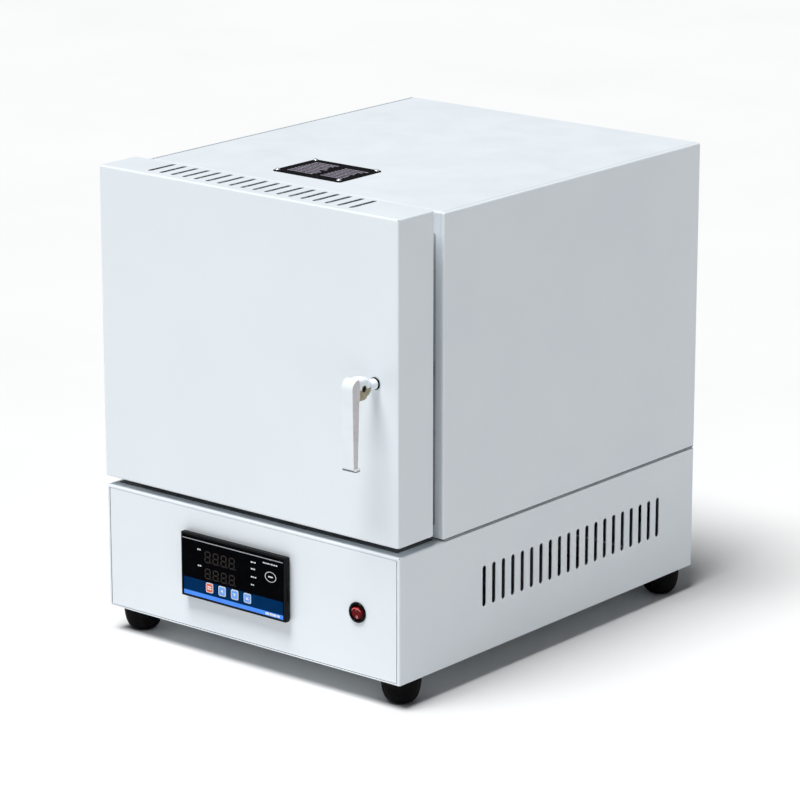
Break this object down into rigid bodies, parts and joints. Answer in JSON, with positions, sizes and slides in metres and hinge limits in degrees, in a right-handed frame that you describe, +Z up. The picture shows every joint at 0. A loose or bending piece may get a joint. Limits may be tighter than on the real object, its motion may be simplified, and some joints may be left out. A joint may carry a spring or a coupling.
{
  "type": "kiln for pottery",
  "caption": "Bench-top box kiln: white steel case on a control base with rubber feet, insulated side-hung door with a lever handle, fibre-lined firing chamber and wall heating elements.",
  "frame": {"origin": "on the ground under the centre of the bounding box, which runs from the front of the door's lever to the end of the thermocouple head", "axes": "+Z up, +Y from the door towards the back, +X to the right seen from the front; the case is symmetric about x = 0 except for its fittings"},
  "size_m": [0.44, 0.644, 0.5575],
  "materials": {
    "enamel": "semi-gloss white powder coat, faintly cool",
    "rubber": "matt black moulded rubber",
    "black_plastic": "fine-textured black",
    "display_face": "smooth printed black film with a blue band",
    "key_red": "smooth orange-red",
    "key_blue": "smooth light blue",
    "rocker_red": "clear red moulding, glossy",
    "relay_housing": "pale grey moulding",
    "heatsink_aluminium": "extruded, plain",
    "nameplate": "black anodised plate, satin",
    "plated_steel": "zinc plated, satin",
    "fibre": "soft matt white vacuum-formed ceramic fibre",
    "hearth": "rough matt refractory shelf",
    "element_wire": "oxidised dark grey resistance wire",
    "sheath_ceramic": "smooth cream ceramic",
    "lever_enamel": "glossy white coated casting"
  },
  "bodies": {
    "kiln_body": {"base_shroud": "enamel", "base_front_panel": "enamel", "base_rear_panel": "enamel", "base_floor": "enamel", "case_side_left": "enamel", "case_side_right": "enamel", "case_front_plate": "enamel", "case_rear_panel": "enamel", "case_floor": "enamel", "case_top": "enamel", "foot_front_left": "rubber", "foot_front_right": "rubber", "foot_rear_left": "rubber", "foot_rear_right": "rubber", "controller_case": "black_plastic", "controller_clamp_left": "black_plastic", "controller_clamp_right": "black_plastic", "switch_body": "black_plastic", "cable_gland": "black_plastic", "controller_face": "display_face", "solid_state_relay": "relay_housing", "terminal_block": "relay_housing", "relay_heatsink": "heatsink_aluminium", "nameplate": "nameplate", "nameplate_screw_front_left": "plated_steel", "nameplate_screw_back_left": "plated_steel", "nameplate_screw_front_right": "plated_steel", "nameplate_screw_back_right": "plated_steel", "hinge_upper_case_leaf": "plated_steel", "hinge_lower_case_leaf": "plated_steel", "latch_keeper": "plated_steel", "lining_floor": "fibre", "lining_roof": "fibre", "lining_left": "fibre", "lining_right": "fibre", "lining_back": "fibre", "hearth_plate": "hearth", "element_left": "element_wire", "element_right": "element_wire", "thermocouple_sheath": "sheath_ceramic", "thermocouple_head": "sheath_ceramic"},
    "door": {"door_shell": "enamel", "door_back_plate": "enamel", "door_blanket": "fibre", "door_plug": "fibre", "hinge_upper_door_leaf": "plated_steel", "hinge_lower_door_leaf": "plated_steel", "handle_bush": "black_plastic"},
    "handle": {"handle_lever": "lever_enamel", "handle_shaft": "plated_steel", "handle_set_screw": "plated_steel", "latch_cam": "plated_steel"},
    "rocker": {"switch_rocker": "rocker_red"},
    "key_set": {"controller_key_set": "key_red"},
    "key_shift": {"controller_key_shift": "key_blue"},
    "key_down": {"controller_key_down": "key_blue"},
    "key_up": {"controller_key_up": "key_blue"}
  },
  "joints": [
    {"name": "door_hinge", "type": "hinge", "parent": "kiln_body", "child": "door", "pos_m": [-0.2155, -0.2045, 0.3735], "axis": [0, 0, -1], "range_deg": [0, 115]},
    {"name": "handle_turn", "type": "hinge", "parent": "door", "child": "handle", "pos_m": [0.1877, -0.274, 0.3719], "axis": [0, 1, 0], "range_deg": [0, 90]},
    {"name": "rocker_tilt", "type": "hinge", "parent": "kiln_body", "child": "rocker", "pos_m": [0.1602, -0.2683, 0.1042], "axis": [-1, 0, 0], "range_deg": [0, 16]},
    {"name": "key_set_press", "type": "slide", "parent": "kiln_body", "child": "key_set", "axis": [0, 1, 0], "range_m": [0, 0.0005], "stiffness_N_per_m": 1500, "springref_m": -0.0003},
    {"name": "key_shift_press", "type": "slide", "parent": "kiln_body", "child": "key_shift", "axis": [0, 1, 0], "range_m": [0, 0.0005], "stiffness_N_per_m": 1500, "springref_m": -0.0003},
    {"name": "key_down_press", "type": "slide", "parent": "kiln_body", "child": "key_down", "axis": [0, 1, 0], "range_m": [0, 0.0005], "stiffness_N_per_m": 1500, "springref_m": -0.0003},
    {"name": "key_up_press", "type": "slide", "parent": "kiln_body", "child": "key_up", "axis": [0, 1, 0], "range_m": [0, 0.0005], "stiffness_N_per_m": 1500, "springref_m": -0.0003}
  ]
}
